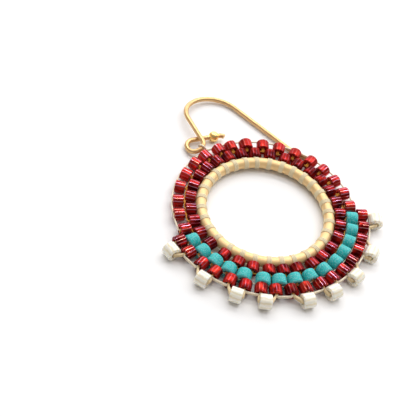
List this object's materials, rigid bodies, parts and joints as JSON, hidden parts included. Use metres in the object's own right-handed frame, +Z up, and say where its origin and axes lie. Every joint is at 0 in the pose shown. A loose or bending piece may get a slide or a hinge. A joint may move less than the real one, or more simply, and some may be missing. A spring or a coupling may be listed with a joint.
{
  "type": "seed bead hoop earring",
  "caption": "Flat hoop earring of red, turquoise and ivory seed beads brick-stitched round a wire ring, with an ear hook, lying on its side.",
  "frame": {"origin": "on the surface that the earring lies on, under the middle of its length and width", "axes": "+Z up from that surface, -Y towards the picot edge, +Y towards the ear hook"},
  "size_m": [0.0295, 0.036, 0.0019],
  "materials": {
    "pale_gold_wire": "pale gold plated wire, satin",
    "red_glass": "transparent garnet glass with a lustre coat, dark inside",
    "turquoise_glass": "opaque turquoise glass, frosted matte",
    "ivory_glass": "opaque ivory glass with a pearl lustre",
    "thread": "cream nylon beading thread",
    "gold_wire": "polished yellow gold plated wire"
  },
  "bodies": {
    "root": {"hoop": "pale_gold_wire", "red_inner_row": "red_glass", "red_upper_row": "red_glass", "turquoise_row": "turquoise_glass", "red_outer_row": "red_glass", "picot_bead_1": "ivory_glass", "picot_bead_2": "ivory_glass", "picot_bead_3": "ivory_glass", "picot_bead_4": "ivory_glass", "picot_bead_5": "ivory_glass", "picot_bead_6": "ivory_glass", "picot_bead_7": "ivory_glass", "picot_bead_8": "ivory_glass", "picot_bead_9": "ivory_glass", "hanging_loop": "thread", "ear_hook": "gold_wire"}
  },
  "joints": []
}
